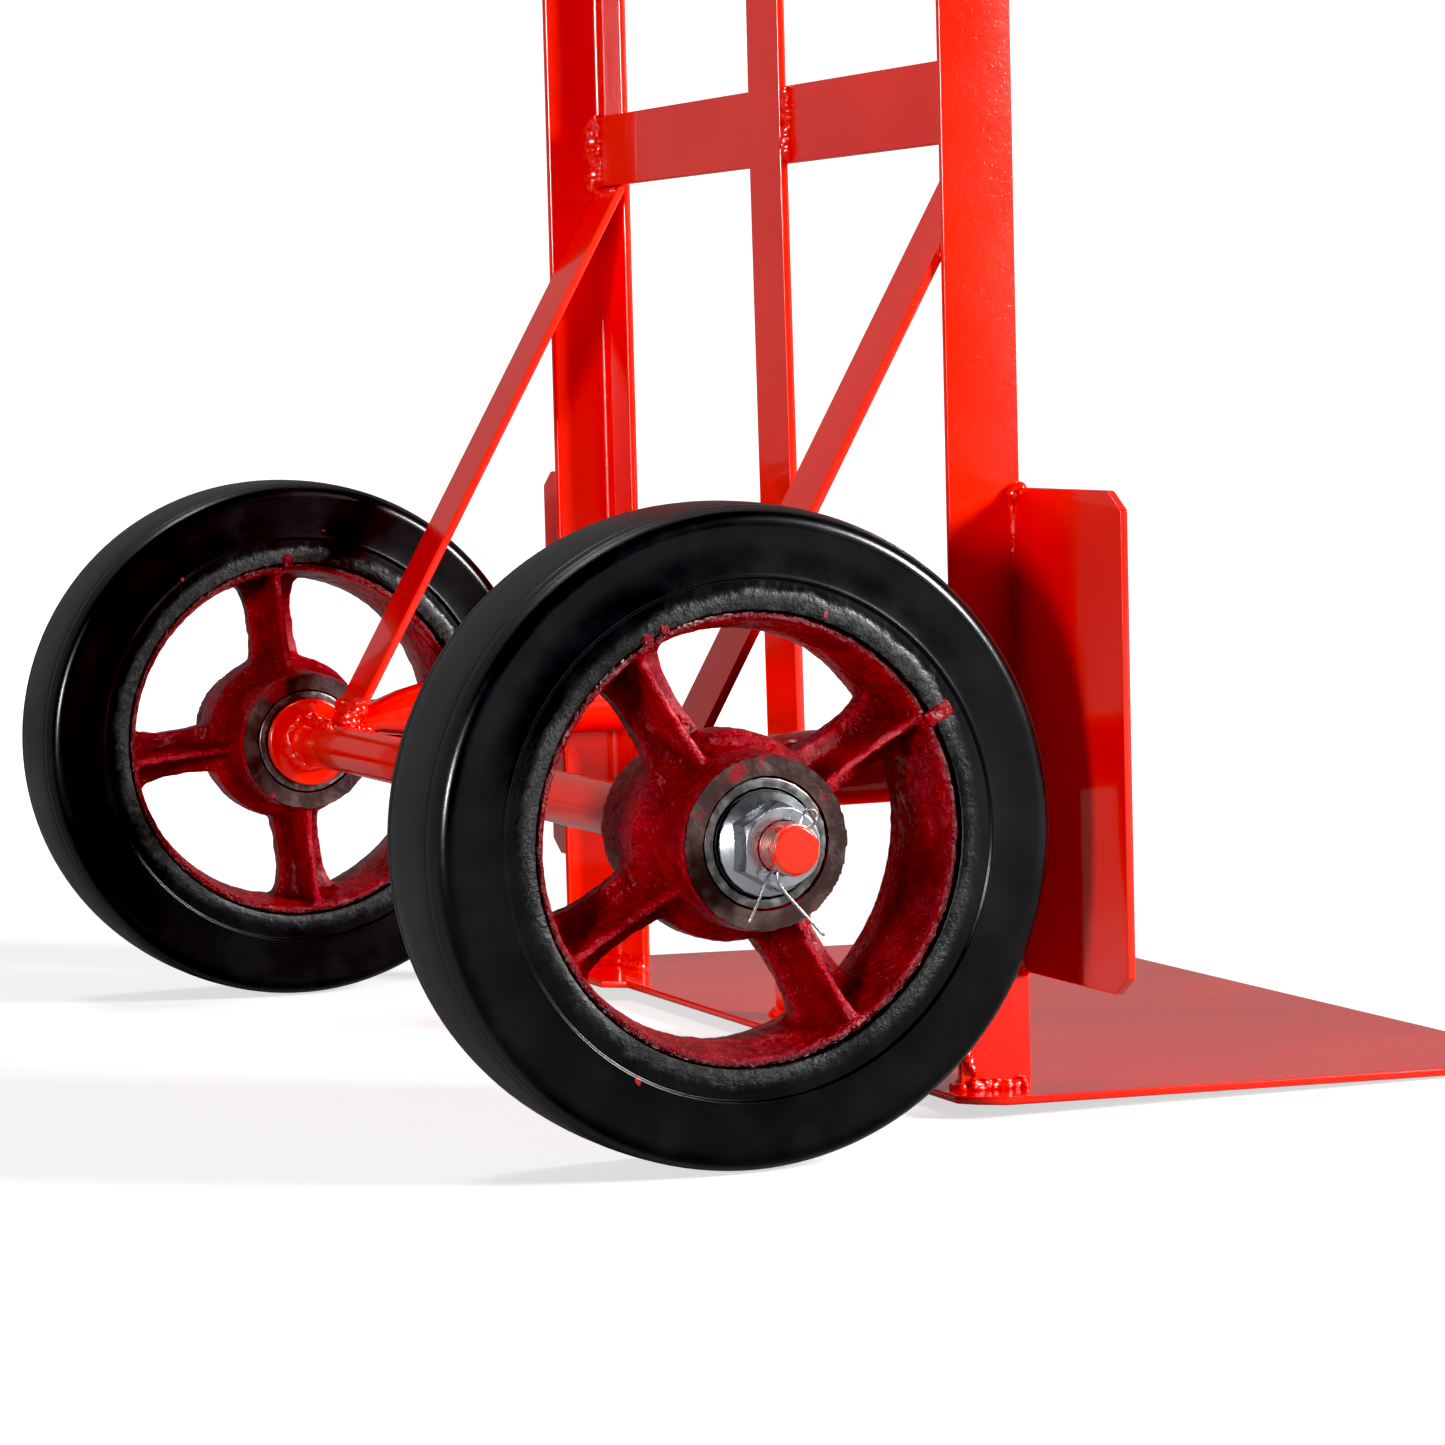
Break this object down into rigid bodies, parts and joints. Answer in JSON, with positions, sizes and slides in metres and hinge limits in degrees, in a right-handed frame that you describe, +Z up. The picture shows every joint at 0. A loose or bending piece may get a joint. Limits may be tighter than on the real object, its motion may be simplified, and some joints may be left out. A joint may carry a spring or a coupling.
{
  "type": "hand truck",
  "caption": "Welded angle-iron hand truck: upright frame with toe plate, wheel guards, braces to a fixed axle, spoked cast wheels with solid rubber tyres, and bent tube handles.",
  "frame": {"origin": "on the floor, in the middle of the footprint from the toe plate's front edge to the back of the tyres", "axes": "+Z up; X along the axle, +X to the operator's left; -Y towards the load and the toe plate"},
  "size_m": [0.58, 0.42, 1.2862],
  "materials": {
    "frame_paint": "gloss orange-red enamel",
    "wheel_paint": "gloss dark red paint over a sand casting",
    "tyre_rubber": "solid moulded rubber",
    "zinc": "bright zinc plate",
    "bearing_steel": "ground steel",
    "seal_rubber": "matt black",
    "grip_rubber": "matt black"
  },
  "bodies": {
    "frame": {"axle": "frame_paint", "axle_shoulder_left": "frame_paint", "axle_shoulder_right": "frame_paint", "axle_stub_left": "frame_paint", "axle_stub_right": "frame_paint", "bearing_inner_race_left_inner": "bearing_steel", "bearing_inner_race_left_outer": "bearing_steel", "bearing_inner_race_right_inner": "bearing_steel", "bearing_inner_race_right_outer": "bearing_steel", "brace_left": "frame_paint", "brace_right": "frame_paint", "centre_strap": "frame_paint", "cotter_pin_left": "zinc", "cotter_pin_right": "zinc", "crossbar_lower": "frame_paint", "crossbar_middle": "frame_paint", "crossbar_top": "frame_paint", "crossbar_upper": "frame_paint", "flange_nut_left": "zinc", "flange_nut_right": "zinc", "grip_left": "grip_rubber", "grip_right": "grip_rubber", "handle_left": "frame_paint", "handle_right": "frame_paint", "hub_spacer_left": "bearing_steel", "hub_spacer_right": "bearing_steel", "rail_left": "frame_paint", "rail_right": "frame_paint", "toe_plate": "frame_paint", "wheel_guard_left": "frame_paint", "wheel_guard_right": "frame_paint"},
    "wheel_left": {"bearing_balls_left_inner": "bearing_steel", "bearing_balls_left_outer": "bearing_steel", "bearing_outer_race_left_inner": "bearing_steel", "bearing_outer_race_left_outer": "bearing_steel", "bearing_seal_left_inner": "seal_rubber", "bearing_seal_left_outer": "seal_rubber", "tyre_left": "tyre_rubber", "wheel_casting_left": "wheel_paint"},
    "wheel_right": {"bearing_balls_right_inner": "bearing_steel", "bearing_balls_right_outer": "bearing_steel", "bearing_outer_race_right_inner": "bearing_steel", "bearing_outer_race_right_outer": "bearing_steel", "bearing_seal_right_inner": "seal_rubber", "bearing_seal_right_outer": "seal_rubber", "tyre_right": "tyre_rubber", "wheel_casting_right": "wheel_paint"}
  },
  "joints": [
    {"name": "wheel_left_spin", "type": "hinge", "parent": "frame", "child": "wheel_left", "pos_m": [0.2318, 0.1084, 0.1016], "axis": [1, 0, 0], "continuous": true},
    {"name": "wheel_right_spin", "type": "hinge", "parent": "frame", "child": "wheel_right", "pos_m": [-0.2318, 0.1084, 0.1016], "axis": [1, 0, 0], "continuous": true}
  ]
}
